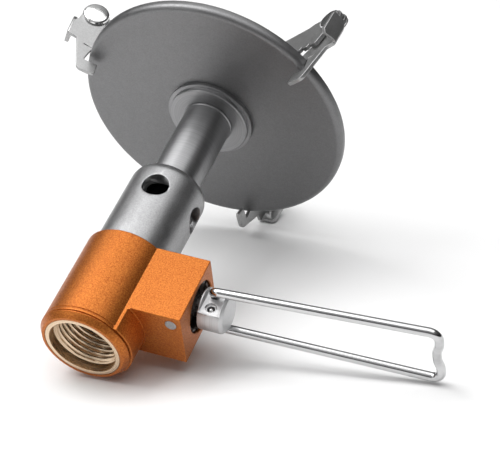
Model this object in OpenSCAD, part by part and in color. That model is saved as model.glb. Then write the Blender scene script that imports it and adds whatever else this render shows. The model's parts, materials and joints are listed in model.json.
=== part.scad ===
// Ultralight screw-on canister stove, standing upright on its canister thread.
// Origin: on the stove axis, at the open end of the canister thread. +Z points up to the pot supports,
// +X points along the valve block to the wire handle.

/* [Valve body] */
// diameter of the round body
body_d = 15.1; // [14:0.1:18]
// height of the body and the top of the valve block
body_h = 18.7; // [16:0.1:22]
// distance from the stove axis to the end of the valve block
block_l = 14.6; // [12:0.1:18]
// width of the valve block
block_w = 10.4; // [9.5:0.1:12]
// height of the underside of the valve block
block_z = 5.85; // [4:0.05:8]
// diameter of the shoulder turned below the block
shoulder_d = 16.4; // [15:0.1:18]
// height of the valve axis
valve_z = 13.25; // [12:0.05:14]

/* [Canister thread] */
// minor diameter of the 7/16-28 canister thread
thread_minor_d = 10.3; // [10.1:0.05:10.5]
// diameter of the plain recess in front of the thread
recess_d = 11.25; // [11.15:0.05:12]
// depth of that recess
recess_depth = 1.65; // [1:0.05:3]
// height of the end of the thread
thread_end_z = 6.75; // [5:0.05:7.5]
// height of the sealing floor behind the thread
seal_floor_z = 8.6; // [7:0.1:9.5]
// outer diameter of the brass insert
insert_d = 12.7; // [12.2:0.1:13]

/* [Mixing tube] */
// outer diameter of the lower barrel
barrel_d = 13.2; // [11:0.1:15]
// height of the top of the barrel's straight wall
barrel_top_z = 33.9; // [30:0.1:38]
// diameter of each air hole
air_hole_d = 4.5; // [2:0.1:6]
// height of the air hole centres
air_hole_z = 30.2; // [24:0.1:31]
// number of air holes
air_holes = 4; // [3:1:6]
// outer diameter of the upper tube
tube_d = 8.54; // [7:0.02:10]

/* [Burner] */
// outer diameter of the burner pan
pan_d = 47.9; // [40:0.1:60]
// height of the underside of the pan
pan_z = 53.9; // [50:0.1:60]
// height of the pan rim above its underside
rim_h = 1.9; // [1.5:0.1:4]
// number of flame slots in the burner cap
flame_slots = 30; // [18:1:40]

/* [Pot supports] */
// distance from the stove axis to each support rivet
pivot_r = 26.72; // [25:0.02:30]
// height of the support rivets
pivot_z = 63.5; // [60:0.02:68]
// direction of the first support, from the valve block
first_support = 79.6; // [60:0.1:120]
// length of each folding arm from its rivet
arm_l = 22; // [16:0.5:23]
// distance from the rivet to the tooth tips of an arm
arm_drop = 5.2; // [4.5:0.1:6.2]
// spacing of the arm teeth
tooth_pitch = 1.8; // [1.2:0.1:3]
// diameter of the domed rivet heads
rivet_head_d = 4.7; // [4:0.1:5.5]

/* [Valve spindle and handle] */
// diameter of the hub
hub_d = 6.8; // [6.5:0.1:7.3]
// distance across the hub flats
hub_flats = 4.2; // [4:0.1:5.6]
// diameter of the handle wire
wire_d = 1.5; // [1.2:0.05:2]
// length of the handle from its pivot to the end of the loop
handle_l = 36.2; // [28:0.1:40]
// width of the loop at the hub, between wire centres
handle_w = 8.5; // [8.5:0.1:10]
// width of the loop at its end, between wire centres
handle_end_w = 10.8; // [9:0.1:12]
// height of the end of the loop above the handle's pivot
handle_rise = 0.6; // [0:0.1:2]
// how far one corner of the loop stands out beyond the other
handle_skew = 0.6; // [0:0.1:1]

/* [Hidden] */
$fn = 48;
run = 0.05; // radial clearance of a running fit
gap = 0.02; // clearance of parts that only rest together
cut = 0.1; // overrun of a cutting tool
support_count = 3;

// valve body and what it holds
body_r = body_d / 2;
insert_r = insert_d / 2;
insert_top = 10.4;
filter_r = 2.6;
filter_h = 0.8;
spigot_r = 5;
spigot_z = 16.3;
spigot_bore_r = 3.9;
jet_r = 1.75;
plenum_z = 14.9;
jet_foot_z = 15.3;
nut_r = 4.25;
nut_back_x = 9.1;
nut_front_x = 12.9;
nut_rim_x = 14.2;
seat_x = -0.5;
seat_r = 0.5;
riser_x = -1.3; // passage from the valve seat up to the jet
riser_r = 0.4;
chamber_r = 1.2;
spindle_thread_r = 2.2;
stem_r = 1.7;
ring_wire_r = 0.5;
ring_x = 9.75;
lock_pin_r = 0.95;
lock_pin_x = 12.85;
lock_pin_y = -3.42;
relief_r = 5.4; // groove behind the canister thread

// hub and handle
hub_x0 = 15.2;
hub_x1 = 19.4;
hub_chamfer = 0.5;
flat_x0 = 15.5;
flat_x1 = 18.9;
spindle_end_r = 1;
spindle_end_x = 18.6;
neck_r = 0.5; // neck of the spindle beside the hub pin
pivot_x = 16.8;
wire_pivot_z = 14.5;
hub_pin_r = 0.6;
hub_pin_x = 16.95;
hub_pin_z = 12;
wire_end_y = 1.2;
crank_y = 2.5; // start of the slanted length of wire between pivot and loop
crank_drop = 1.05;
bend_lap = 0.12;
bend_swell = 0.015;

// mixing tube
barrel_r = barrel_d / 2;
barrel_wall = 0.9;
shoulder_h = 2.3;
tube_r = tube_d / 2;
tube_wall = 0.75;
tube_foot_z = 33.2;

// burner
pan_r = pan_d / 2;
pan_t = 0.7;
pan_fillet = 1.1;
pan_top = pan_z + rim_h;
flange_r = 7.15;
flange_step_r = 7.75;
flange_z = 52.3;
cap_top = 57;
cap_t = 0.6;
cap_r = 19.6;

// supports, drawn in a frame turned to each one: X outwards, Y along the rivet, Z up
sheet = 0.65;
arm_t = 0.7;
arm_y = -0.9; // arm face next to the bracket plate
shank_r = 0.9;
head_r = rivet_head_d / 2;
ear_r = head_r + 0.1;
arm_ear_r = 2.3;
tail_r = 2;
washer_r = 1.8;
washer_t = 0.2;
stop_x = 29.65; // foot of the bracket's stop, on its outer face
stop_foot = 57.3;
stop_top = 62.1;
stop_w = 3.4;
stop_lean = 6.5; // outward lean of the stop, in degrees
stop_bend = 0.5;
mouth_x = 24.45; // bottom of the slot around the pan rim
hook_x = 21.45; // inner end of the hook below the pan
hook_top = 53.1;
arm_foot = pivot_z - arm_drop;
arm_tip = pivot_r - arm_l;
stop_corner = stop_foot + (stop_top - stop_foot) * cos(stop_lean) + sheet * sin(stop_lean);
arm_stop = 2 * pivot_z - stop_corner - gap; // back of the folded arm that lands on the bracket

function arc(cx, cy, r, a0, a1, n = 6) =
    [for (i = [0:n]) let (a = a0 + (a1 - a0) * i / n) [cx + r * cos(a), cy + r * sin(a)]];
function unit(v) = v / norm(v);
function support_angle(i) = first_support + i * 360 / support_count;

module turned(points) rotate_extrude($fn = 96) polygon(points);

module along_x(x0, x1, r) translate([x0, 0, valve_z]) rotate([0, 90, 0]) cylinder(r = r, h = x1 - x0);

// a shape drawn in the X-Z plane, thick from y down to y - t
module plate(y, t) translate([0, y, 0]) rotate([90, 0, 0]) linear_extrude(t) children();

module at_support(i) rotate(support_angle(i)) children();

// ---- valve body ----

module body_blank() {
    turned([[0, 0], [6.85, 0], [body_r, 1], [body_r, body_h - 0.3], [body_r - 0.3, body_h], [0, body_h]]);
    translate([0, -block_w / 2, block_z]) cube([block_l, block_w, body_h - 0.1 - block_z]);
    intersection() {
        translate([0, 0, 1.3]) cylinder(d = shoulder_d, h = block_z - 1.3 + cut, $fn = 96);
        translate([0, -block_w / 2, 0]) cube([block_l, block_w, block_z + cut]);
    }
}

module valve_body() color("orangered") difference() {
    body_blank();
    translate([0, 0, -cut]) cylinder(r = insert_r + gap, h = insert_top + gap + cut);
    turned([[body_r - 0.25, 1.1], [10, 1.1], [10, 1.3], [body_r - 0.25, 1.3]]);
    translate([0, 0, insert_top]) cylinder(r = filter_r + run, h = filter_h + 0.1);
    translate([1, 0, insert_top]) cylinder(r = 0.6, h = valve_z - insert_top);
    along_x(seat_x, 5, chamber_r);
    along_x(riser_x - 0.6, seat_x + cut, seat_r);
    along_x(4.9, 9.1, spindle_thread_r);
    along_x(9, block_l + cut, nut_r + run);
    translate([riser_x, 0, valve_z]) cylinder(r = riser_r, h = plenum_z - valve_z + cut);
    translate([0, 0, plenum_z]) cylinder(r = jet_r + gap, h = spigot_z - plenum_z + cut);
    translate([0, 0, spigot_z - 0.1]) cylinder(r = spigot_r + run, h = body_h);
    translate([lock_pin_x, lock_pin_y, block_z - cut]) cylinder(r = lock_pin_r + gap, h = 2.4 + cut);
}

module thread_insert() color("goldenrod") turned([
    [recess_d / 2, 0], [insert_r, 0], [insert_r, insert_top - 0.2], [insert_r - 0.2, insert_top],
    [filter_r + run, insert_top], [filter_r + run, 9.4], [1.25, 9.4], [1.25, seal_floor_z],
    [relief_r, seal_floor_z], [relief_r, thread_end_z], [thread_minor_d / 2, thread_end_z],
    [thread_minor_d / 2, recess_depth], [recess_d / 2, recess_depth]
]);

module canister_seal() color("black") rotate_extrude($fn = 96)
    translate([3.6, seal_floor_z - 0.85 - gap]) circle(r = 0.85);

module probe_pin() color("silver") difference() {
    turned([[0, 6.9], [0.75, 6.9], [1.2, 7.3], [1.2, 9.42], [filter_r, 9.42], [filter_r, insert_top - gap],
        [0, insert_top - gap]]);
    translate([0, 0, 7.4]) cylinder(r = 0.45, h = 6);
    translate([-2, -0.3, 6.8]) cube([4, 0.6, 1]);
}

module inlet_filter() color("peru") translate([0, 0, insert_top + gap]) cylinder(r = filter_r, h = filter_h);

module nut_lock_pin() color("gray") translate([lock_pin_x, lock_pin_y, block_z - 0.05])
    cylinder(r = lock_pin_r, h = 2.4);

// ---- valve spindle ----

module packing_nut() color("darkgoldenrod") difference() {
    along_x(nut_back_x, nut_rim_x, nut_r);
    along_x(nut_front_x, nut_rim_x + cut, nut_r - 0.55);
    along_x(nut_back_x - cut, nut_rim_x, stem_r + run);
    along_x(nut_back_x - cut, ring_x + 0.55, 2.8);
    for (a = [0:30:150]) translate([nut_rim_x, 0, valve_z]) rotate([a, 0, 0])
        cube([0.8, 0.7, 2 * nut_r + 1], center = true);
}

module spindle_o_ring() color("black") translate([ring_x, 0, valve_z]) rotate([0, 90, 0])
    rotate_extrude() translate([stem_r + ring_wire_r + run, 0]) circle(r = ring_wire_r);

module valve_spindle() color("silver") translate([0, 0, valve_z]) rotate([0, 90, 0]) turned([
    [0, seat_x - 0.5], [0.47, seat_x], [0.9, 1.2], [1, 1.3], [1, 5], [spindle_thread_r - run, 5.2],
    [spindle_thread_r - run, 7.5], [stem_r, 7.5], [stem_r, hub_x0 - 0.35], [spindle_end_r, hub_x0 - 0.35],
    [spindle_end_r, hub_pin_x - 0.8], [neck_r, hub_pin_x - 0.8], [neck_r, hub_pin_x + 0.8],
    [spindle_end_r, hub_pin_x + 0.8], [spindle_end_r, spindle_end_x], [0, spindle_end_x]
]);

module handle_hub() color("gainsboro") difference() {
    translate([0, 0, valve_z]) rotate([0, 90, 0]) turned([
        [0, hub_x0], [hub_d / 2, hub_x0], [hub_d / 2, hub_x1 - hub_chamfer],
        [hub_d / 2 - hub_chamfer, hub_x1], [0, hub_x1]
    ]);
    for (s = [-1, 1]) {
        translate([flat_x0, s * hub_flats / 2 - (s < 0 ? 3 : 0), 0]) cube([flat_x1 - flat_x0, 3, 30]);
        translate([pivot_x, s * wire_end_y - s * 0.1, wire_pivot_z]) rotate([-90 * s, 0, 0])
            cylinder(d = wire_d + 2 * run, h = hub_flats);
        translate([hub_pin_x, s * (hub_flats / 2 - 0.4), hub_pin_z]) rotate([-90 * s, 0, 0])
            cylinder(r = hub_pin_r + 0.3, h = 3);
    }
    along_x(hub_x0 - cut, spindle_end_x + 0.1, spindle_end_r + gap);
    translate([hub_pin_x, -hub_d / 2, hub_pin_z]) rotate([-90, 0, 0]) cylinder(r = hub_pin_r + gap, h = hub_d);
}

module hub_pin() color("silver") translate([hub_pin_x, -(hub_flats / 2 - 0.2), hub_pin_z])
    rotate([-90, 0, 0]) cylinder(r = hub_pin_r, h = hub_flats - 0.4);

// its children with their X and Z axes turned to two unit vectors that are square to each other
module turned_to(place, x, z) {
    y = cross(z, x);
    multmatrix([[x.x, y.x, z.x, place.x], [x.y, y.y, z.y, place.y], [x.z, y.z, z.z, place.z], [0, 0, 0, 1]])
        children();
}

// round wire bent along a route, with one bend radius for each corner; the bends are drawn a hair
// thicker than the straights, which end inside them
module bent_wire(route, bends, r) {
    last = len(route) - 1;
    leg = [for (i = [1:last]) unit(route[i] - route[i - 1])];
    turn = [for (i = [0:last]) (i == 0 || i == last) ? 0 : acos(leg[i - 1] * leg[i])];
    trim = [for (i = [0:last]) (i == 0 || i == last) ? 0 : bends[i] * tan(turn[i] / 2) - bend_lap];
    for (i = [1:last]) {
        d = leg[i - 1];
        side = unit(cross(d, abs(d.z) < 0.9 ? [0, 0, 1] : [1, 0, 0]));
        turned_to(route[i - 1] + d * trim[i - 1], side, d)
            cylinder(r = r, h = norm(route[i] - route[i - 1]) - trim[i - 1] - trim[i]);
    }
    for (i = [1:last - 1]) {
        centre = route[i] + unit(leg[i] - leg[i - 1]) * bends[i] / cos(turn[i] / 2);
        start = route[i] - leg[i - 1] * (trim[i] + bend_lap);
        turned_to(centre, unit(start - centre), unit(cross(leg[i - 1], leg[i])))
            rotate_extrude(angle = turn[i]) translate([bends[i], 0]) circle(r = r + bend_swell);
    }
}

// a point on the bar at the end of the loop, pulled in towards the hub by a dent
function bar_point(y, dent = 0) = [handle_l + handle_skew * y / handle_end_w - dent, y, handle_rise];

module wire_handle() {
    side = [[0, wire_end_y, 0], [0, crank_y, 0], [0, handle_w / 2, -crank_drop]];
    bar = [bar_point(handle_end_w / 2), bar_point(2.5), bar_point(1, 0.5), bar_point(-1, 0.5),
        bar_point(-2.5), bar_point(-handle_end_w / 2)];
    other = [for (i = [len(side) - 1:-1:0]) [side[i].x, -side[i].y, side[i].z]];
    color("lightgray") translate([pivot_x, 0, wire_pivot_z])
        bent_wire(concat(side, bar, other), [0, 1, 1.2, 1.6, 4, 4, 4, 4, 1.6, 1.2, 1, 0], wire_d / 2);
}

// ---- mixing tube ----

module gas_jet() color("gold") difference() {
    union() {
        translate([0, 0, jet_foot_z + gap]) cylinder(r = jet_r, h = spigot_z - jet_foot_z + cut);
        translate([0, 0, spigot_z + gap]) cylinder(r = 2.6, h = 2, $fn = 6);
        turned([[0, spigot_z + 1], [1.6, spigot_z + 1], [1.6, spigot_z + 2.6], [0.9, spigot_z + 3.2],
            [0, spigot_z + 3.2]]);
    }
    translate([0, 0, jet_foot_z - cut]) cylinder(r = 0.8, h = 3.6);
    translate([0, 0, jet_foot_z]) cylinder(r = 0.15, h = 6, $fn = 16);
}

module air_barrel() color("gray") difference() {
    turned(concat(
        [[spigot_bore_r, spigot_z + gap], [spigot_r, spigot_z + gap], [spigot_r, body_h + gap],
            [barrel_r - 0.2, body_h + gap], [barrel_r, body_h + 0.2]],
        arc(barrel_r - shoulder_h + 0.2, barrel_top_z, shoulder_h - 0.2, 0, 75),
        [[tube_r + 0.25, barrel_top_z + shoulder_h], [tube_r + 0.25, barrel_top_z + 1.2],
            [tube_r + gap, barrel_top_z + 1.2], [tube_r + gap, tube_foot_z - 0.1],
            [tube_r - 0.5, tube_foot_z - 0.1], [barrel_r - barrel_wall, tube_foot_z - 1.5],
            [barrel_r - barrel_wall, 21], [spigot_bore_r, 19.6]]
    ));
    for (i = [0:air_holes - 1]) rotate(i * 360 / air_holes + 2.5) translate([0, 0, air_hole_z])
        rotate([0, 90, 0]) cylinder(d = air_hole_d, h = barrel_d);
}

module burner_tube() color("gray") turned([
    [tube_r - tube_wall, tube_foot_z], [tube_r, tube_foot_z], [tube_r, flange_z - 0.35],
    [tube_r + 0.15, flange_z - 0.2], [tube_r + 0.15, flange_z - gap], [tube_r, flange_z - gap],
    [tube_r, pan_z + 1], [tube_r - tube_wall, pan_z + 1]
]);

// ---- burner ----

module burner_flange() color("darkgray") turned([
    [tube_r + gap, flange_z], [flange_r - 0.15, flange_z], [flange_r, flange_z + 0.15],
    [flange_r, flange_z + 0.8], [flange_step_r, flange_z + 0.8], [flange_step_r, pan_z - gap],
    [tube_r + gap, pan_z - gap]
]);

module burner_pan() color("dimgray") turned(concat(
    [[tube_r + gap, pan_z]],
    arc(pan_r - pan_fillet, pan_z + pan_fillet, pan_fillet, -90, 0),
    [[pan_r, pan_top], [pan_r - pan_t, pan_top]],
    arc(pan_r - pan_fillet, pan_z + pan_fillet, pan_fillet - pan_t, 0, -90),
    [[tube_r + gap, pan_z + pan_t]]
));

module gas_spreader() color("silver") {
    translate([0, 0, pan_z + 1.6]) cylinder(r = 6.4, h = 0.4);
    for (a = [0:120:240]) rotate(a) translate([5.2, -0.6, pan_z + pan_t + gap])
        cube([0.6, 1.2, 1.6 - pan_t]);
}

module burner_cap() color("dimgray") difference() {
    turned([
        [21.9, pan_z + pan_t + gap], [22.6, pan_z + pan_t + gap], [22.6, 55.1], [pan_r - pan_t - run, 55.1],
        [pan_r - pan_t - run, 55.6], [cap_r, 55.6], [cap_r - 0.4, cap_top], [5, cap_top],
        [3.6, cap_top - 0.4], [0, cap_top - 0.4], [0, cap_top - 0.4 - cap_t], [4, cap_top - 0.4 - cap_t],
        [5, cap_top - cap_t], [cap_r - 1, cap_top - cap_t], [cap_r - 0.8, 55.1], [21.9, 55.1]
    ]);
    for (i = [0:flame_slots - 1]) rotate(i * 360 / flame_slots)
        translate([12.6, -0.5, cap_top - 1]) cube([5.2, 1, 2]);
    for (i = [0:17]) rotate(i * 20) translate([9.2, 0, cap_top - 1]) cylinder(r = 0.65, h = 2, $fn = 24);
}

// ---- pot supports ----

module bracket_outline() polygon(concat(
    [[hook_x + 0.35, hook_top], [hook_x, hook_top - 1.9], [hook_x + 0.3, 50.95], [22.7, 50.8]],
    arc(23.95, 52, 1.25, -90, -20, 4),
    [[25.85, 53.2], [27.6, stop_foot - 0.2], [stop_x - 0.4, stop_foot], [stop_x - 0.05, 60.4],
        [pivot_r + 2.35, 61.4]],
    arc(pivot_r, pivot_z, ear_r, -20, 200, 11),
    [[23.4, 59.5], [21.6, 57.6], [21.6, pan_top + gap], [mouth_x - 0.35, pan_top + gap],
        [mouth_x - 0.2, pan_top - 0.9], [mouth_x, pan_z - 0.6], [mouth_x - 0.2, hook_top]]
));

// sheet bent square to the plate, rounded at the bend, leaning outwards
module bracket_stop() translate([stop_x, 0, stop_foot]) rotate([0, stop_lean, 0]) intersection() {
    translate([0, 0, -1]) linear_extrude(8) polygon(concat(
        [[-sheet, 0], [-sheet, -stop_w], [0, -stop_w]],
        arc(-stop_bend, -stop_bend, stop_bend, 0, 90)
    ));
    translate([-1, 0, 0]) rotate([90, 0, 90]) linear_extrude(2) polygon([
        [0.1, 0], [-0.9, 0.4], [-2.6, 0], [-stop_w + 0.6, 0], [-stop_w, 0.6],
        [-stop_w, stop_top - stop_foot - 0.3], [-stop_w + 0.3, stop_top - stop_foot],
        [-1, stop_top - stop_foot], [0.1, 3.1]
    ]);
}

module support_bracket(i) color("silver") at_support(i) difference() {
    union() {
        plate(0, sheet) bracket_outline();
        bracket_stop();
    }
    translate([pivot_r, cut, pivot_z]) rotate([90, 0, 0]) cylinder(r = shank_r + gap, h = sheet + 2 * cut);
    translate([mouth_x - 0.4, -1, 56.15]) rotate([0, -3, 0]) cube([1.8, 2, 0.12]);
}

module support_rivet(i) color("white") at_support(i) translate([pivot_r, 0, pivot_z]) rotate([90, 0, 0])
    turned([
        [0, 2.15], [tail_r - 0.3, 2.15], [tail_r, 1.9], [tail_r, 1.65], [shank_r, 1.65], [shank_r, -gap],
        [head_r - 0.1, -gap], [head_r, -0.12], [head_r, -0.3], [head_r - 0.12, -0.5], [head_r - 0.4, -0.67],
        [head_r - 0.9, -0.77], [1, -0.83], [0, -0.85]
    ]);

module support_washer(i) color("silver") at_support(i) translate([pivot_r, -sheet - gap, pivot_z])
    rotate([90, 0, 0]) difference() {
        cylinder(r = washer_r, h = washer_t);
        translate([0, 0, -cut]) cylinder(r = shank_r + run, h = 1);
    }

// arm outline: the tooth tips run along the bottom while the arm is folded in over the burner
module arm_outline() polygon(concat(
    [[pivot_r - 1.2, arm_foot]],
    [for (k = [1:floor((arm_l - 3.2) / tooth_pitch)], p = [[0.55, 0], [0.8, 0.8], [1.05, 0]])
        [pivot_r - 1.4 - (k - 1 + p.x) * tooth_pitch, arm_foot + p.y]],
    [[arm_tip + 0.5, arm_foot], [arm_tip, arm_foot + 0.5], [arm_tip, arm_foot + 2.4],
        [arm_tip + 1.2, arm_foot + 3.6], [pivot_r - 13, pivot_z + 0.5], [pivot_r - 5.4, pivot_z + 0.9],
        [pivot_r - 4.2, arm_stop], [pivot_r - 1.75, arm_stop]],
    arc(pivot_r, pivot_z, arm_ear_r, 125, -20, 8),
    [[pivot_r + 1.9, pivot_z - 1.9], [pivot_r - 0.2, pivot_z - 2.9]]
));

module support_arm(i) color("silver") at_support(i) difference() {
    plate(arm_y, arm_t) arm_outline();
    translate([pivot_r, 0, pivot_z]) rotate([90, 0, 0]) cylinder(r = shank_r + run, h = 4);
}

valve_body();
thread_insert();
canister_seal();
probe_pin();
inlet_filter();
nut_lock_pin();
packing_nut();
spindle_o_ring();
valve_spindle();
handle_hub();
hub_pin();
wire_handle();
gas_jet();
air_barrel();
burner_tube();
burner_flange();
burner_pan();
gas_spreader();
burner_cap();
support_bracket(0);  // support_bracket_1
support_bracket(1);  // support_bracket_2
support_bracket(2);  // support_bracket_3
support_rivet(0);  // support_rivet_1
support_rivet(1);  // support_rivet_2
support_rivet(2);  // support_rivet_3
support_washer(0);  // support_washer_1
support_washer(1);  // support_washer_2
support_washer(2);  // support_washer_3
support_arm(0);  // support_arm_1
support_arm(1);  // support_arm_2
support_arm(2);  // support_arm_3
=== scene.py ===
import json
import math

import bmesh
import bpy
from mathutils import Matrix, Vector

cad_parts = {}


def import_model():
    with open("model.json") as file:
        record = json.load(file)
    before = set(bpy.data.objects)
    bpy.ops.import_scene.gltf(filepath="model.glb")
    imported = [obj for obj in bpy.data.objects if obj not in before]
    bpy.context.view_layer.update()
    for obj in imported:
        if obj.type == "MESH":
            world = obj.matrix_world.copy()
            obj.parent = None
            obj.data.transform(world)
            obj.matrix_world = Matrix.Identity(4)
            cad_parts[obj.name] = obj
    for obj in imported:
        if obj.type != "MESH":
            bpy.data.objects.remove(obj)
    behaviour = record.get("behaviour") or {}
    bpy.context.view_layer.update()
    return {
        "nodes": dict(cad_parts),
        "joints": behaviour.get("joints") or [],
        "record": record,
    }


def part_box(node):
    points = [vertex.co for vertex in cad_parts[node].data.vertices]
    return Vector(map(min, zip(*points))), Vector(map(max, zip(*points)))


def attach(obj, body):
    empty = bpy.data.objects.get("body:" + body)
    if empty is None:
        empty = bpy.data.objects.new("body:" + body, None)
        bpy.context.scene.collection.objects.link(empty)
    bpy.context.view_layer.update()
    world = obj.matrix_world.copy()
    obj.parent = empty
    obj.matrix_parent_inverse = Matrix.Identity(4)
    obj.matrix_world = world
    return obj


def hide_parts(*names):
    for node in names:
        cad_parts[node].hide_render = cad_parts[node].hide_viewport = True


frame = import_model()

MM = 0.001
JOINTS = {j["name"]: j for j in frame["joints"]}
MOUNTS = {m["name"]: m for m in frame["record"]["mounts"]}
SLOT_OF = {s["node"]: s["material_slot"] for s in frame["record"]["subparts"]}
BODY_OF = {n: b for b, nodes in frame["record"]["behaviour"]["bodies"].items() for n in nodes}
SUPPORTS = (1, 2, 3)
TUBE_R = 4.27  # outer radius of the burner tube, in millimetres
FIT = 0.02  # clearance between fitted pieces, in millimetres

# the way up from the table that the stove lies on
UP = Vector((-0.1235, -0.9254, 0.3581)).normalized()


# ---- shader helpers ----

class Shader:
    """A Principled material built from a few nodes, in the object's own coordinates."""

    def __init__(self, name, colour, metallic, roughness):
        self.material = bpy.data.materials.new(name)
        self.material.use_nodes = True
        self.tree = self.material.node_tree
        self.bsdf = self.tree.nodes["Principled BSDF"]
        self.bsdf.inputs["Base Color"].default_value = (*colour, 1)
        self.bsdf.inputs["Metallic"].default_value = metallic
        self.bsdf.inputs["Roughness"].default_value = roughness
        self.coords = self.tree.nodes.new("ShaderNodeTexCoord").outputs["Object"]
        self.normal = None

    def node(self, kind, **settings):
        made = self.tree.nodes.new(kind)
        for key, value in settings.items():
            setattr(made, key, value)
        return made

    def link(self, a, b):
        self.tree.links.new(a, b)

    def stretched(self, scale):
        mapping = self.node("ShaderNodeMapping")
        mapping.inputs["Scale"].default_value = scale
        self.link(self.coords, mapping.inputs["Vector"])
        return mapping.outputs["Vector"]

    def noise(self, scale, detail=3, roughness=0.5, stretch=(1, 1, 1)):
        """Noise of a given number of features a metre."""
        tex = self.node("ShaderNodeTexNoise")
        tex.inputs["Scale"].default_value = scale
        tex.inputs["Detail"].default_value = detail
        tex.inputs["Roughness"].default_value = roughness
        self.link(self.stretched(stretch), tex.inputs["Vector"])
        return tex.outputs["Fac"]

    def turning(self, scale, height=0, axis="Z"):
        """Uneven rings about an axis at a given height, as a lathe tool leaves on walls and faces."""
        along = (0, 0, 1) if axis == "Z" else (1, 0, 0)
        across = (1, 1, 0) if axis == "Z" else (0, 1, 1)
        moved = self.node("ShaderNodeVectorMath", operation="SUBTRACT")
        moved.inputs[1].default_value = (0, 0, height)
        self.link(self.coords, moved.inputs[0])
        parts = []
        for mask in (along, across):
            kept = self.node("ShaderNodeVectorMath", operation="MULTIPLY")
            kept.inputs[1].default_value = mask
            self.link(moved.outputs["Vector"], kept.inputs[0])
            parts.append(kept.outputs["Vector"])
        distance = self.node("ShaderNodeVectorMath", operation="LENGTH")
        self.link(parts[1], distance.inputs[0])
        total = self.node("ShaderNodeVectorMath", operation="ADD")
        self.link(parts[0], total.inputs[0])
        self.link(distance.outputs["Value"], total.inputs[1])
        tex = self.node("ShaderNodeTexNoise")
        tex.inputs["Scale"].default_value = scale
        tex.inputs["Detail"].default_value = 3
        self.link(total.outputs["Vector"], tex.inputs["Vector"])
        return tex.outputs["Fac"]

    def ramp(self, value, stops):
        ramp = self.node("ShaderNodeValToRGB")
        elements = ramp.color_ramp.elements
        while len(elements) < len(stops):
            elements.new(0.5)
        for element, (place, colour) in zip(elements, stops):
            element.position = place
            element.color = (*colour, 1)
        self.link(value, ramp.inputs["Fac"])
        return ramp.outputs["Color"]

    def colour(self, value, dark, light, low=0.35, high=0.65):
        self.link(self.ramp(value, [(low, dark), (high, light)]), self.bsdf.inputs["Base Color"])

    def roughness(self, value, low, high, start=0.3, end=0.7):
        span = self.node("ShaderNodeMapRange")
        span.inputs["From Min"].default_value = start
        span.inputs["From Max"].default_value = end
        span.inputs["To Min"].default_value = low
        span.inputs["To Max"].default_value = high
        self.link(value, span.inputs["Value"])
        self.link(span.outputs["Result"], self.bsdf.inputs["Roughness"])

    def bump(self, value, height):
        """Relief of a given height in metres; calls stack up."""
        bump = self.node("ShaderNodeBump")
        bump.inputs["Strength"].default_value = 1
        bump.inputs["Distance"].default_value = height
        self.link(value, bump.inputs["Height"])
        if self.normal is not None:
            self.link(self.normal, bump.inputs["Normal"])
        self.normal = bump.outputs["Normal"]
        self.link(self.normal, self.bsdf.inputs["Normal"])


def blasted(name, dark, light, metallic, rough, grain=0.02):
    """Bead-blasted metal: a fine even grain with soft cloudy variation."""
    s = Shader(name, light, metallic, rough)
    s.colour(s.noise(4200, 3, 0.7), dark, light, 0.3, 0.7)
    s.roughness(s.noise(900, 3), rough - 0.04, rough + 0.05)
    s.bump(s.noise(4600, 3, 0.65), grain * MM)
    return s.material


def orange_anodised():
    """Coarser blasting under clear orange anodising, so the grain sparkles."""
    s = Shader("orange_anodised", (0.62, 0.17, 0.025), 0.75, 0.38)
    s.colour(s.noise(4400, 3, 0.75), (0.31, 0.066, 0.008), (0.6, 0.2, 0.033), 0.34, 0.66)
    s.roughness(s.noise(2600, 3), 0.3, 0.46)
    s.bump(s.noise(4400, 3, 0.75), 0.03 * MM)
    s.bsdf.inputs["Specular IOR Level"].default_value = 0.5
    return s.material


def turned_metal(name, dark, light, rough, depth, height=0, axis="Z"):
    """Lathe-turned metal, with uneven fine rings of a given depth in millimetres."""
    s = Shader(name, light, 1, rough)
    rings = s.turning(5200, height, axis)
    s.colour(rings, dark, light)
    s.roughness(s.turning(2100, height, axis), rough - 0.04, rough + 0.05)
    s.bump(rings, depth * MM)
    s.bump(s.noise(3800, 2), 0.002 * MM)
    return s.material


def polished(name, dark, light, rough, streaks):
    """Polished or plated metal with faint drawing marks along one direction."""
    s = Shader(name, light, 1, rough)
    s.colour(s.noise(500, 4, 0.6, streaks), dark, light)
    s.roughness(s.noise(900, 4, 0.6, streaks), rough - 0.03, rough + 0.06)
    s.bump(s.noise(1800, 3, 0.6, streaks), 0.004 * MM)
    return s.material


def rubber():
    s = Shader("rubber", (0.02, 0.02, 0.02), 0, 0.6)
    s.colour(s.noise(1500, 3), (0.012, 0.012, 0.012), (0.03, 0.03, 0.03))
    s.bump(s.noise(5000, 2), 0.01 * MM)
    return s.material


def sintered():
    s = Shader("sintered_bronze", (0.4, 0.27, 0.13), 0.9, 0.6)
    grains = s.node("ShaderNodeTexVoronoi")
    grains.inputs["Scale"].default_value = 4000
    s.link(s.coords, grains.inputs["Vector"])
    s.colour(grains.outputs["Distance"], (0.14, 0.09, 0.04), (0.5, 0.35, 0.18), 0.1, 0.6)
    s.bump(grains.outputs["Distance"], 0.06 * MM)
    return s.material


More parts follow.
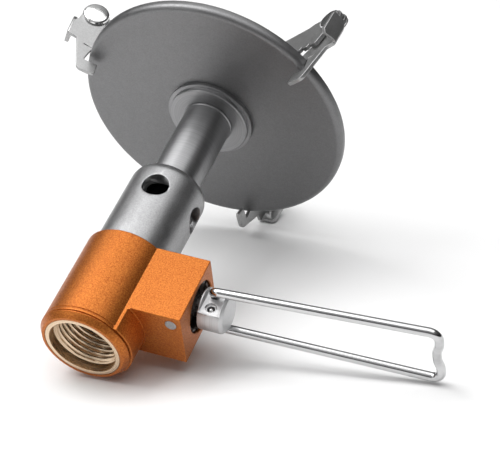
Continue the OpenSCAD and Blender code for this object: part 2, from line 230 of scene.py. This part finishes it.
def make_materials():
    valve = JOINTS["hub_turn"]["pos_m"][2]
    return {
        "orange_anodised": orange_anodised(),
        "brass": turned_metal("brass", (0.64, 0.48, 0.33), (0.78, 0.61, 0.44), 0.25, 0.0015),
        "rubber": rubber(),
        "stainless": turned_metal("stainless", (0.5, 0.5, 0.5), (0.66, 0.66, 0.66), 0.28, 0.003),
        "sintered_bronze": sintered(),
        # near-black colour on the packing nut is painted shade, standing in for the shade deep in the block's
        # bore where the nut sits
        "blackened_steel": turned_metal("blackened_steel", (0.035, 0.028, 0.024), (0.08, 0.07, 0.065), 0.34,
                                        0.004, valve, "X"),
        "pin_steel": blasted("pin_steel", (0.3, 0.3, 0.3), (0.45, 0.45, 0.46), 1, 0.4, 0.01),
        "chrome": turned_metal("chrome", (0.56, 0.56, 0.565), (0.62, 0.62, 0.625), 0.5, 0.001, valve, "X"),
        "wire_steel": polished("wire_steel", (0.5, 0.5, 0.505), (0.68, 0.68, 0.685), 0.15, (0.06, 1, 1)),
        "grey_aluminium": blasted("grey_aluminium", (0.31, 0.31, 0.315), (0.43, 0.43, 0.435), 1, 0.38),
        "grey_tube": turned_metal("grey_tube", (0.27, 0.27, 0.275), (0.31, 0.31, 0.315), 0.37, 0.0018),
        "grey_turned": turned_metal("grey_turned", (0.25, 0.25, 0.255), (0.33, 0.33, 0.335), 0.38, 0.004),
        "blasted_titanium": blasted("blasted_titanium", (0.18, 0.18, 0.182), (0.222, 0.222, 0.225), 1, 0.44,
                                    0.007),
        "support_sheet": blasted("support_sheet", (0.36, 0.36, 0.36), (0.46, 0.46, 0.46), 1, 0.42, 0.006),
        "rivet_steel": polished("rivet_steel", (0.82, 0.82, 0.82), (0.92, 0.92, 0.92), 0.14, (1, 1, 1)),
    }


# ---- mesh helpers ----

def rounded(profile, radius, steps=3):
    """The closed outline with every corner sharper than 12 degrees rounded off."""
    made = []
    count = len(profile)
    for i, point in enumerate(profile):
        here = Vector(point)
        back = Vector(profile[i - 1]) - here
        ahead = Vector(profile[(i + 1) % count]) - here
        turn = math.pi - back.angle(ahead)
        if turn < math.radians(12) or (here.x < 1e-6):
            made.append((here.x, here.y))
            continue
        reach = min(radius * math.tan(turn / 2), back.length * 0.45, ahead.length * 0.45)
        start = here + back.normalized() * reach
        end = here + ahead.normalized() * reach
        for k in range(steps + 1):
            t = k / steps
            p = start * (1 - t) ** 2 + here * 2 * t * (1 - t) + end * t ** 2
            made.append((p.x, p.y))
    return made


def axis_frame(origin, axis):
    """Matrix that takes +Z to an axis through a point."""
    z = Vector(axis).normalized()
    x = (Vector((0, 1, 0)) if abs(z.y) < 0.9 else Vector((1, 0, 0))).cross(z).normalized()
    return Matrix.Translation(Vector(origin)) @ Matrix((x, z.cross(x), z)).transposed().to_4x4()


def new_piece(name, mesh, node):
    piece = bpy.data.objects.new(name, mesh)
    bpy.context.scene.collection.objects.link(piece)
    mesh.materials.append(MATERIALS[SLOT_OF[node]])
    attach(piece, BODY_OF[node])
    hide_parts(node)
    return piece


def mesh_from(name, verts, faces, place=None):
    mesh = bpy.data.meshes.new(name)
    mesh.from_pydata([tuple(v) for v in verts], [], faces)
    if place is not None:
        mesh.transform(place)
    bm = bmesh.new()
    bm.from_mesh(mesh)
    bmesh.ops.remove_doubles(bm, verts=bm.verts, dist=1e-7)
    bmesh.ops.recalc_face_normals(bm, faces=bm.faces)
    bm.to_mesh(mesh)
    bm.free()
    mesh.shade_smooth()
    return mesh


def lathe_mesh(name, profile, radius=0.1, segments=160, place=None, smooth_angle=28):
    """Solid turned from a closed outline of (radius, height) in millimetres."""
    outline = rounded(profile, radius)
    count = len(outline)
    verts = []
    for s in range(segments):
        a = 2 * math.pi * s / segments
        verts += [(r * MM * math.cos(a), r * MM * math.sin(a), h * MM) for r, h in outline]
    faces = []
    for s in range(segments):
        for i in range(count):
            j = (i + 1) % count
            if outline[i][0] < 1e-6 and outline[j][0] < 1e-6:
                continue
            a, b = s * count, ((s + 1) % segments) * count
            faces.append((a + i, b + i, b + j, a + j))
    mesh = mesh_from(name, verts, faces, place)
    mesh.set_sharp_from_angle(angle=math.radians(smooth_angle))
    return mesh


def modifier(piece, kind, **settings):
    made = piece.modifiers.new(kind.lower(), kind)
    for key, value in settings.items():
        setattr(made, key, value)
    return made


def bevel_edges(piece, width, angle=30, segments=2):
    """Rounds the piece's outward edges."""
    bm = bmesh.new()
    bm.from_mesh(piece.data)
    layers = bm.edges.layers.float
    weights = layers.get("bevel_weight_edge") or layers.new("bevel_weight_edge")
    for edge in bm.edges:
        edge[weights] = 1.0 if edge.calc_face_angle_signed(0) > math.radians(angle) else 0.0
    bm.to_mesh(piece.data)
    bm.free()
    modifier(piece, "BEVEL", width=width * MM, segments=segments, limit_method="WEIGHT",
             use_clamp_overlap=False, miter_outer="MITER_ARC")
    modifier(piece, "WEIGHTED_NORMAL", keep_sharp=False, weight=60)


def softened(node, width, segments=2, angle=30):
    """A copy of a CAD node's shape with its edges rounded off."""
    mesh = frame["nodes"][node].data.copy()
    mesh.materials.clear()
    bm = bmesh.new()
    bm.from_mesh(mesh)
    bmesh.ops.remove_doubles(bm, verts=bm.verts, dist=2e-6)
    bmesh.ops.dissolve_limit(bm, angle_limit=math.radians(0.6), verts=bm.verts, edges=bm.edges)
    bm.to_mesh(mesh)
    bm.free()
    mesh.attributes.remove(mesh.attributes["custom_normal"]) if "custom_normal" in mesh.attributes else None
    mesh.shade_smooth()
    piece = new_piece(node + "_soft", mesh, node)
    bevel_edges(piece, width, angle, segments)
    return piece


# ---- valve body ----

def prism_mesh(name, outline, low, high, radius, place=None):
    """Upright block on an outline, in millimetres, with every sharp edge rounded."""
    bm = bmesh.new()
    loops = [[bm.verts.new((x * MM, y * MM, z * MM)) for x, y in outline] for z in (low, high)]
    bm.faces.new(list(reversed(loops[0])))
    bm.faces.new(loops[1])
    count = len(outline)
    for i in range(count):
        j = (i + 1) % count
        bm.faces.new((loops[0][i], loops[0][j], loops[1][j], loops[1][i]))
    bmesh.ops.recalc_face_normals(bm, faces=bm.faces)
    sharp = [e for e in bm.edges if e.calc_face_angle(0) > math.radians(30)]
    bmesh.ops.bevel(bm, geom=sharp, offset=radius * MM, segments=4, affect="EDGES", profile=0.5)
    mesh = bpy.data.meshes.new(name)
    bm.to_mesh(mesh)
    bm.free()
    if place is not None:
        mesh.transform(place)
    mesh.shade_smooth()
    return mesh


def combine(piece, tools):
    """Adds or cuts away each (operation, mesh) in turn, and keeps the result."""
    helpers = []
    for operation, mesh in tools:
        helper = bpy.data.objects.new("tool", mesh)
        bpy.context.scene.collection.objects.link(helper)
        modifier(piece, "BOOLEAN", object=helper, operation=operation, solver="EXACT")
        helpers.append(helper)
    apply_modifiers(piece)
    for helper in helpers:
        bpy.data.objects.remove(helper)


def merge_near(piece, distance):
    """Merges corners closer than a distance in millimetres, so that a cut's rim can be rounded evenly."""
    bm = bmesh.new()
    bm.from_mesh(piece.data)
    bmesh.ops.remove_doubles(bm, verts=bm.verts, dist=distance * MM)
    bmesh.ops.dissolve_degenerate(bm, edges=bm.edges, dist=distance / 10 * MM)
    bm.to_mesh(piece.data)
    bm.free()


def apply_modifiers(piece):
    """Keeps the shape that the modifiers make, and drops them."""
    graph = bpy.context.evaluated_depsgraph_get()
    mesh = bpy.data.meshes.new_from_object(piece.evaluated_get(graph))
    piece.modifiers.clear()
    piece.data = mesh


def valve_body():
    """Turned body and milled block in one, with rounded edges and chamfered bore mouths."""
    low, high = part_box("valve_body")
    radius, top, reach = -low.x / MM, high.z / MM, high.x / MM
    width, under, step_r, step_z = 5.2, 5.85, 8.2, 1.3
    valve = JOINTS["hub_turn"]["pos_m"][2]
    body = lathe_mesh("valve_body_milled", [
        (0, 0), (radius - 0.7, 0), (radius, 1), (radius, step_z - 0.2), (radius - 0.25, step_z - 0.15),
        (radius - 0.25, step_z - 0.03), (radius, step_z + 0.02), (radius, step_z + 0.5),
        (radius - 0.14, step_z + 0.57), (radius - 0.14, step_z + 0.65), (radius, step_z + 0.72),
        (radius, top - 0.3), (radius - 0.3, top), (0, top)
    ], 0.13, 160)
    block_outline = [(0, -width), (reach, -width), (reach, width), (0, width)]
    block = prism_mesh("block", block_outline, under, top - 0.1, 0.16)

    def step(name, r, z, softness):
        """Part-round step between body and block, from a height up into the block."""
        side = math.asin(width / r)
        clear = 0.999  # keeps the step's sides off the block's own
        arc = [(r * math.cos(side * k / 16), r * math.sin(side * k / 16) * clear) for k in range(-16, 17)]
        outline = [(0, -width * clear)] + arc + [(0, width * clear)]
        return prism_mesh(name, outline, z, under + 0.4, softness)

    shoulder = step("shoulder", step_r - 0.28, step_z, 0.12)
    collar = step("collar", step_r, under - 0.2, 0.07)
    bore = lathe_mesh("bore", [(0, -1), (6.62, -1), (6.37, 0.1), (6.37, 10.42), (0, 10.42)], 0, 144)
    along_valve = axis_frame((0, 0, valve), (1, 0, 0))
    nut_bore = [(0, 9), (4.3, 9), (4.3, reach - 0.14), (4.55, reach + 0.1), (0, reach + 0.1)]
    nut = lathe_mesh("nut", nut_bore, 0, 96, along_valve)
    stem = lathe_mesh("stem", [(0, 4), (2.2, 4), (2.2, 9.5), (0, 9.5)], 0, 48, along_valve)
    spigot = lathe_mesh("spigot", [(0, 16.2), (5.05, 16.2), (5.05, 20), (0, 20)], 0, 96)
    pin_low, pin_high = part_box("nut_lock_pin")
    pin = (pin_low + pin_high) / 2
    pin_hole = lathe_mesh("pin_hole", [(0, -1), (1.4, -0.4), (0.97, 0.05), (0.97, 3.5), (0, 3.5)], 0, 48,
                          Matrix.Translation((pin.x, pin.y, under * MM)))
    piece = new_piece("valve_body_milled", body, "valve_body")
    added, cut = (block, shoulder, collar), (bore, nut, stem, spigot, pin_hole)
    combine(piece, [("UNION", tool) for tool in added] + [("DIFFERENCE", tool) for tool in cut])
    piece.data.set_sharp_from_angle(angle=math.radians(33))
    modifier(piece, "WEIGHTED_NORMAL", keep_sharp=True, weight=50)


# ---- turned pieces ----

def heights(node):
    """Lowest and highest point of a CAD node, in millimetres."""
    low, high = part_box(node)
    return low.z / MM, high.z / MM


def outer_radius(node):
    low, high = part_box(node)
    return (high.x - low.x) / 2 / MM


def thread_insert():
    """Brass insert with the real helical canister thread cut in its bore."""
    socket, thread = MOUNTS["canister_socket"]["dims"], MOUNTS["canister_thread"]["dims"]
    outer, top = outer_radius("thread_insert"), heights("thread_insert")[1]
    pitch, depth = 25.4 / 28, 0.46
    crest, start = thread["r_mm"], socket["length_mm"]
    end = start + thread["length_mm"]
    segments, rows = 128, int(thread["length_mm"] / pitch * 18)
    mouth = socket["r_mm"]
    below = [(outer - 0.15, 0.0), (mouth + 0.15, 0.0), (mouth + 0.03, 0.04), (mouth, 0.15)]
    above = [(5.4, end), (5.4, 8.6), (1.25, 8.6), (1.25, 9.4), (2.65, 9.4), (2.65, top), (outer - 0.2, top),
             (outer, top - 0.2), (outer, 0.15), (outer - 0.04, 0.04)]
    columns = []
    for s in range(segments):
        column = below + [(mouth, start)]
        for k in range(1, rows + 1):
            z = start + k * (end - start) / rows
            phase = (z / pitch - s / segments) % 1
            tooth = min(max(abs(phase - 0.5) * 2.5 - 0.3, 0), 1)
            r = max(crest + depth * tooth, mouth - (z - start) * 1.4)
            column.append((r, min(z, end - 0.001)))
        columns.append(column + above)
    count = len(columns[0])
    verts = []
    for s, column in enumerate(columns):
        a = 2 * math.pi * s / segments
        verts += [(r * MM * math.cos(a), r * MM * math.sin(a), z * MM) for r, z in column]
    faces = []
    for s in range(segments):
        a, b = s * count, ((s + 1) % segments) * count
        faces += [(a + i, b + i, b + (i + 1) % count, a + (i + 1) % count) for i in range(count)]
    mesh = mesh_from("thread_insert_cut", verts, faces)
    mesh.set_sharp_from_angle(angle=math.radians(40))
    return new_piece("thread_insert_cut", mesh, "thread_insert")


def burner_tube():
    low, high = heights("burner_tube")
    flange = heights("burner_flange")[0]
    r = TUBE_R
    new_piece("burner_tube_turned", lathe_mesh("burner_tube_turned", [
        (r - 0.75, low), (r, low), (r, flange - 0.35), (r + 0.15, flange - 0.2), (r + 0.15, flange - 0.02),
        (r, flange - 0.02), (r, high), (r - 0.75, high)
    ], 0.04, 128), "burner_tube")


def burner_flange():
    low, high = heights("burner_flange")
    bore = TUBE_R + FIT
    step = outer_radius("burner_flange")
    new_piece("burner_flange_turned", lathe_mesh("burner_flange_turned", [
        (bore, low), (step - 0.75, low), (step - 0.6, low + 0.15), (step - 0.6, low + 0.8),
        (step, low + 0.8), (step, high), (bore, high)
    ], 0.06), "burner_flange")


def burner_pan():
    low, high = heights("burner_pan")
    r, bore, wall = outer_radius("burner_pan"), TUBE_R + FIT, 0.7
    fillet = 1.1
    floor = [(bore, low), (bore + 0.1, low)]
    outer = [(r - fillet + fillet * math.sin(math.radians(a)),
              low + fillet - fillet * math.cos(math.radians(a))) for a in range(0, 91, 6)]
    inner = [(r - fillet + (fillet - wall) * math.cos(math.radians(a)),
              low + fillet - (fillet - wall) * math.sin(math.radians(a))) for a in range(0, 91, 15)]
    outline = floor + outer + [(r, high), (r - wall, high)] + inner + [(bore, low + wall)]
    mesh = lathe_mesh("burner_pan_pressed", outline, 0.16, 240, smooth_angle=40)
    new_piece("burner_pan_pressed", mesh, "burner_pan")


def support_rivet(i):
    """Polished rivet: flat-domed head on the plate's face, peened tail behind the arm."""
    joint = JOINTS["arm_%d_fold" % i]
    head, tail, shank = 4.7 / 2, 2.0, 0.9
    profile = [(0, -2.15), (tail - 0.35, -2.15), (tail - 0.1, -2.03), (tail, -1.85), (tail, -1.65),
               (shank, -1.65), (shank, 0.02), (head - 0.1, 0.02), (head, 0.12), (head, 0.3),
               (head - 0.12, 0.5), (head - 0.4, 0.67), (head - 0.9, 0.77), (1, 0.83), (0, 0.85)]
    place = axis_frame(joint["pos_m"], joint["axis"])
    mesh = lathe_mesh("support_rivet_%d_polished" % i, profile, 0.06, 96, place, 40)
    new_piece("support_rivet_%d_polished" % i, mesh, "support_rivet_%d" % i)


# ---- barrel ----

def air_barrel():
    """Blasted barrel with four air holes, its shoulder closing in on the tube."""
    low, high = heights("air_barrel")
    foot = heights("valve_body")[1]
    r = outer_radius("air_barrel")
    curve = 2.1
    shoulder = [(r - curve + curve * math.cos(math.radians(a)), high - 2.3 + curve * math.sin(math.radians(a)))
                for a in range(0, 80, 8)]
    wall = [(r, z) for z in (22, 24, 26)] + [(r, 27 + k / 2) for k in range(12)]
    seat = [(TUBE_R + 0.25, high), (TUBE_R + 0.25, high - 1.1), (TUBE_R + FIT, high - 1.1),
            (TUBE_R + FIT, high - 3.1), (TUBE_R - 0.5, high - 3.1)]
    inside = [(r - 0.9, high - 4.5), (r - 0.9, 21), (3.9, 19.6)]
    spigot = [(3.9, low), (5, low), (5, foot + FIT), (r - 0.2, foot + FIT), (r, foot + 0.2)]
    outline = spigot + wall + shoulder + seat + inside
    mesh = lathe_mesh("air_barrel_blasted", outline, 0.1, 144, smooth_angle=180)
    barrel = new_piece("air_barrel_blasted", mesh, "air_barrel")
    holes, hole_r, hole_z, start_angle = 4, 2.25, 30.2, 2.5
    drills = []
    for k in range(holes):
        a = math.radians(360 / holes * k + start_angle)
        place = axis_frame((0, 0, hole_z * MM), (math.cos(a), math.sin(a), 0))
        drill = lathe_mesh("drill", [(0, 2), (hole_r, 2), (hole_r, 9), (0, 9)], 0, 64, place)
        drills.append(("DIFFERENCE", drill))
    combine(barrel, drills)
    merge_near(barrel, 0.06)
    bevel_edges(barrel, 0.07, 60)


# ---- wire handle ----

def wire_route():
    """Centre line of the bent wire about its pivot, with every corner rounded."""
    length, skew, rise, half = 36.2, 0.6, 0.6, 5.4
    side = [(0, 1.2, 0), (0, 2.5, 0), (0, 4.25, -1.05)]
    bar = [(length + skew * y / (2 * half) - dent, y, rise)
           for y, dent in ((half, 0), (2.5, 0), (1, 0.5), (-1, 0.5), (-2.5, 0), (-half, 0))]
    corners = [Vector(p) for p in side + bar + [(x, -y, z) for x, y, z in reversed(side)]]
    bends = (1, 1.2, 1.6, 4, 4, 4, 4, 1.6, 1.2, 1)
    route = [corners[0]]
    for back, here, ahead, bend in zip(corners, corners[1:], corners[2:], bends):
        d1, d2 = (back - here).normalized(), (ahead - here).normalized()
        half_turn = (math.pi - d1.angle(d2)) / 2
        centre = here + (d1 + d2).normalized() * bend / math.cos(half_turn)
        start = here + d1 * bend * math.tan(half_turn) - centre
        end = here + d2 * bend * math.tan(half_turn) - centre
        steps = max(4, round(math.degrees(half_turn) * 2 / 6))
        route += [centre + start.slerp(end, k / steps).normalized() * bend for k in range(steps + 1)]
    return route + [corners[-1]]


def wire_handle():
    route = wire_route()
    radius, sides = 0.75, 32
    verts, faces = [], []
    upright = Vector((0, 0, 1))
    for i, point in enumerate(route):
        along = (route[min(i + 1, len(route) - 1)] - route[max(i - 1, 0)]).normalized()
        across = upright.cross(along).normalized()
        upright = along.cross(across)
        for k in range(sides):
            a = 2 * math.pi * k / sides
            verts.append((point + (across * math.cos(a) + upright * math.sin(a)) * radius) * MM)
    for i in range(len(route) - 1):
        for k in range(sides):
            a, b = i * sides, (i + 1) * sides
            faces.append((a + k, a + (k + 1) % sides, b + (k + 1) % sides, b + k))
    faces += [tuple(range(sides)), tuple(range(len(verts) - sides, len(verts)))]
    place = Matrix.Translation(Vector(JOINTS["handle_fold"]["pos_m"]))
    mesh = mesh_from("wire_handle_bent", verts, faces, place)
    mesh.set_sharp_from_angle(angle=math.radians(50))
    new_piece("wire_handle_bent", mesh, "wire_handle")


def hub_pin():
    """Cross pin standing clear of its hole all round, with domed ends just below the flats."""
    low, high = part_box("hub_pin")
    middle, half, r = (low + high) / 2, (high.y - low.y) / 2 / MM - 0.12, (high.z - low.z) / 2 / MM - 0.22
    profile = [(0, -half), (r * 0.6, -half + 0.08), (r, -half + 0.3),
               (r, half - 0.3), (r * 0.6, half - 0.08), (0, half)]
    mesh = lathe_mesh("hub_pin_domed", profile, 0.1, 48, axis_frame(middle, (0, 1, 0)), 50)
    new_piece("hub_pin_domed", mesh, "hub_pin")


# ---- stage ----

def camera():
    data = bpy.data.cameras.new("camera")
    data.lens = 122.08
    data.clip_start = 0.01
    cam = bpy.data.objects.new("camera", data)
    bpy.context.scene.collection.objects.link(cam)
    forward = Vector((-0.2928, 0.7353, 0.6112)).normalized()
    right = forward.cross(Vector((-0.2181, -0.6737, 0.7061))).normalized()
    cam.matrix_world = Matrix((right, right.cross(forward), -forward)).transposed().to_4x4()
    cam.matrix_world.translation = Vector((0.0969, -0.2038, -0.1377))
    bpy.context.scene.camera = cam
    return right, forward


def lowest_point():
    """How far the object reaches down towards the table."""
    reach = 0
    for piece in frame["nodes"].values():
        reach = min(reach, min(v.co.dot(UP) for v in piece.data.vertices))
    return reach


def floor():
    """Pale table that shows only from above."""
    place = axis_frame(UP * (lowest_point() - 0.0001), UP)
    size = 1.2
    corners = [(-size, -size, 0), (size, -size, 0), (size, size, 0), (-size, size, 0)]
    mesh = bpy.data.meshes.new("floor")
    mesh.from_pydata(corners, [], [(0, 1, 2, 3)])
    mesh.transform(place)
    s = Shader("floor", (0.9, 0.9, 0.9), 0, 0.6)
    s.bsdf.inputs["Specular IOR Level"].default_value = 0.25
    clear = s.node("ShaderNodeBsdfTransparent")
    mix = s.node("ShaderNodeMixShader")
    geometry = s.node("ShaderNodeNewGeometry")
    s.link(geometry.outputs["Backfacing"], mix.inputs["Fac"])
    s.link(s.bsdf.outputs["BSDF"], mix.inputs[1])
    s.link(clear.outputs["BSDF"], mix.inputs[2])
    s.link(mix.outputs["Shader"], s.tree.nodes["Material Output"].inputs["Surface"])
    mesh.materials.append(s.material)
    plane = bpy.data.objects.new("floor", mesh)
    bpy.context.scene.collection.objects.link(plane)


def area_light(name, place, size, power, colour=(1, 1, 1), target=Vector((0.012, 0, 0.032))):
    data = bpy.data.lights.new(name, "AREA")
    data.shape = "RECTANGLE"
    data.size, data.size_y = size
    data.energy = power
    data.color = colour
    lamp = bpy.data.objects.new(name, data)
    lamp.location = place
    lamp.rotation_euler = (target - Vector(place)).to_track_quat("-Z", "Y").to_euler()
    bpy.context.scene.collection.objects.link(lamp)


def lights(right, forward):
    centre = Vector((0.012, 0, 0.032))
    near = -(forward - UP * forward.dot(UP)).normalized()
    area_light("key", centre + UP * 0.6 - right * 0.4 - near * 0.05, (0.5, 0.5), 3.8)
    area_light("top", centre + UP * 0.8 + near * 0.1 + right * 0.1, (0.9, 0.9), 4.2)
    area_light("rim", centre + UP * 0.25 - right * 0.6 + near * 0.35, (0.25, 0.5), 0.4)


def world(right):
    """Soft surroundings: bright above, dark at the horizon and to the right, plain white to look at."""
    surroundings = bpy.data.worlds.new("studio")
    bpy.context.scene.world = surroundings
    surroundings.use_nodes = True
    tree = surroundings.node_tree
    back = tree.nodes["Background"]
    coords = tree.nodes.new("ShaderNodeTexCoord")

    def shade(direction, stops):
        """Grey that changes along a direction, from -1 behind it to 1 ahead."""
        reach = tree.nodes.new("ShaderNodeVectorMath")
        reach.operation = "DOT_PRODUCT"
        reach.inputs[1].default_value = direction
        tree.links.new(coords.outputs["Generated"], reach.inputs[0])
        spread = tree.nodes.new("ShaderNodeMapRange")
        spread.inputs["From Min"].default_value = -1
        tree.links.new(reach.outputs["Value"], spread.inputs["Value"])
        ramp = tree.nodes.new("ShaderNodeValToRGB")
        while len(ramp.color_ramp.elements) < len(stops):
            ramp.color_ramp.elements.new(0.5)
        for element, (place, grey) in zip(ramp.color_ramp.elements, stops):
            element.position = place
            element.color = (grey, grey, grey, 1)
        tree.links.new(spread.outputs["Result"], ramp.inputs["Fac"])
        return ramp.outputs["Color"]

    both = tree.nodes.new("ShaderNodeMix")
    both.data_type = "RGBA"
    both.blend_type = "MULTIPLY"
    both.inputs["Factor"].default_value = 1
    upwards = shade(UP, [(0.0, 0.8), (0.47, 0.3), (0.52, 0.05), (0.62, 0.22), (0.8, 0.75), (1.0, 1.0)])
    sideways = shade(right, [(0.0, 1.0), (0.55, 0.9), (0.8, 0.25), (1.0, 0.2)])
    tree.links.new(upwards, both.inputs["A"])
    tree.links.new(sideways, both.inputs["B"])
    plain = tree.nodes.new("ShaderNodeMix")
    plain.data_type = "RGBA"
    rays = tree.nodes.new("ShaderNodeLightPath")
    tree.links.new(rays.outputs["Is Camera Ray"], plain.inputs["Factor"])
    tree.links.new(both.outputs["Result"], plain.inputs["A"])
    plain.inputs["B"].default_value = (1.7, 1.7, 1.7, 1)
    tree.links.new(plain.outputs["Result"], back.inputs["Color"])
    back.inputs["Strength"].default_value = 0.6


MATERIALS = make_materials()
for node_name, cad in frame["nodes"].items():
    cad.data.materials.clear()
    cad.data.materials.append(MATERIALS[SLOT_OF[node_name]])

valve_body()
softened("handle_hub", 0.08, 2)
softened("packing_nut", 0.06)
softened("burner_cap", 0.1)
softened("gas_jet", 0.06)
softened("probe_pin", 0.04)
softened("nut_lock_pin", 0.1)
for number in SUPPORTS:
    softened("support_bracket_%d" % number, 0.09, 2)
    softened("support_arm_%d" % number, 0.07, 2)
    support_rivet(number)
thread_insert()
air_barrel()
burner_tube()
burner_flange()
burner_pan()
wire_handle()
hub_pin()

floor()
view_right, view_forward = camera()
lights(view_right, view_forward)
world(view_right)
bpy.context.scene.view_settings.view_transform = "Standard"
